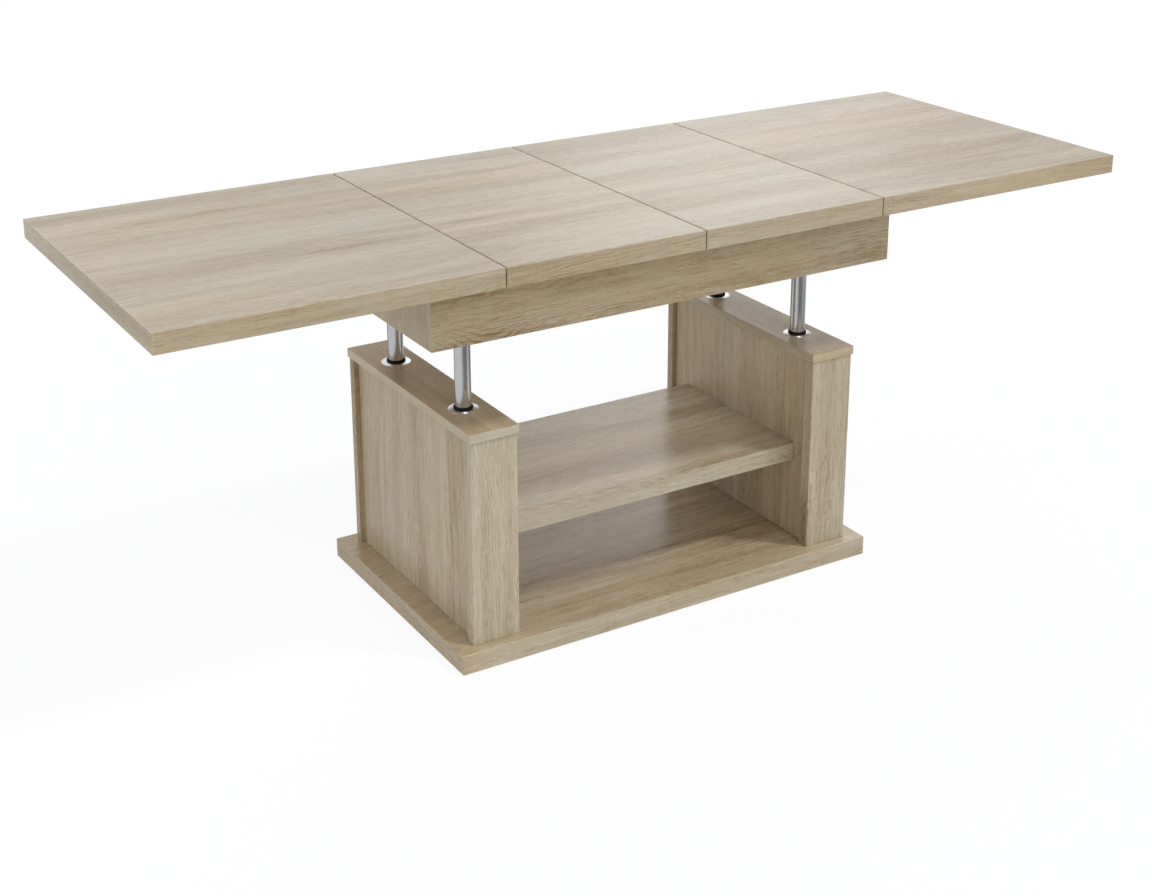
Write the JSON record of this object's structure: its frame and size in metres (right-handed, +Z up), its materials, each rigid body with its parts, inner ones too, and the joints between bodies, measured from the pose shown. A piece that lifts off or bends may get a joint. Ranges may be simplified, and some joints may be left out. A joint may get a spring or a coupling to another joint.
{
  "type": "convertible coffee and dining table",
  "caption": "Extending table with sliding end panels and lift-out inserts on an apron box, raised on bright tubes that telescope into hollow board pillars on a base plate with a shelf.",
  "frame": {"origin": "on the floor, under the middle of the table", "axes": "+X along the table to the right, +Y from the front to the back, +Z up"},
  "size_m": [2, 0.7, 0.78],
  "materials": {
    "oak_laminate": "semi-gloss oak-look laminate",
    "chrome_steel": "bright plated steel",
    "black_plastic": "fine moulded",
    "zinc_steel": "zinc plated",
    "rail_aluminium": "extruded, natural",
    "beech": "raw",
    "raw_board": "raw particle board",
    "black_spring": "black gloss"
  },
  "bodies": {
    "base": {"base_plate": "oak_laminate", "floor_glides": "black_plastic", "shelf": "oak_laminate", "left_pillar_front_board": "oak_laminate", "left_pillar_back_board": "oak_laminate", "left_pillar_outer_side": "oak_laminate", "left_pillar_inner_side": "oak_laminate", "left_pillar_cap": "oak_laminate", "left_guide_board": "raw_board", "right_pillar_front_board": "oak_laminate", "right_pillar_back_board": "oak_laminate", "right_pillar_outer_side": "oak_laminate", "right_pillar_inner_side": "oak_laminate", "right_pillar_cap": "oak_laminate", "right_guide_board": "raw_board", "upper_guide_bushes": "black_plastic", "lower_guide_bushes": "black_plastic", "rosettes": "chrome_steel", "gas_spring_rods": "zinc_steel", "gas_spring_feet": "zinc_steel", "spring_foot_bolts": "zinc_steel", "pillar_base_screws": "zinc_steel", "cap_dowels": "beech", "shelf_dowels": "beech", "shelf_cams": "zinc_steel", "shelf_cam_bolts": "zinc_steel"},
    "lift_frame": {"left_front_tube": "chrome_steel", "left_back_tube": "chrome_steel", "right_front_tube": "chrome_steel", "right_back_tube": "chrome_steel", "tube_flanges": "zinc_steel", "flange_screws": "zinc_steel", "gas_spring_cylinders": "black_spring", "spring_plugs": "zinc_steel", "apron_front_board": "oak_laminate", "apron_back_board": "oak_laminate", "apron_left_end": "oak_laminate", "apron_right_end": "oak_laminate", "apron_floor": "oak_laminate", "front_rail_channel": "rail_aluminium", "back_rail_channel": "rail_aluminium", "channel_screws": "zinc_steel", "rail_stop_screws": "zinc_steel", "apron_dowels": "beech", "corner_blocks": "beech", "corner_block_screws": "zinc_steel"},
    "left_top": {"left_top_panel": "oak_laminate", "left_rails": "rail_aluminium", "left_rail_screws": "zinc_steel"},
    "right_top": {"right_top_panel": "oak_laminate", "right_rails": "rail_aluminium", "right_rail_screws": "zinc_steel"},
    "left_insert": {"left_insert_panel": "oak_laminate", "left_insert_pegs": "beech"},
    "right_insert": {"right_insert_panel": "oak_laminate", "right_insert_pegs": "beech"}
  },
  "joints": [
    {"name": "top_lift", "type": "slide", "parent": "base", "child": "lift_frame", "axis": [0, 0, 1], "range_m": [-0.16, 0]},
    {"name": "left_top_slide", "type": "slide", "parent": "lift_frame", "child": "left_top", "axis": [-1, 0, 0], "range_m": [0, 0.04]},
    {"name": "right_top_slide", "type": "slide", "parent": "lift_frame", "child": "right_top", "axis": [1, 0, 0], "range_m": [0, 0.04]},
    {"name": "left_insert_lift", "type": "slide", "parent": "lift_frame", "child": "left_insert", "axis": [0, 0, 1], "range_m": [0, 0.15]},
    {"name": "right_insert_lift", "type": "slide", "parent": "lift_frame", "child": "right_insert", "axis": [0, 0, 1], "range_m": [0, 0.15]}
  ]
}
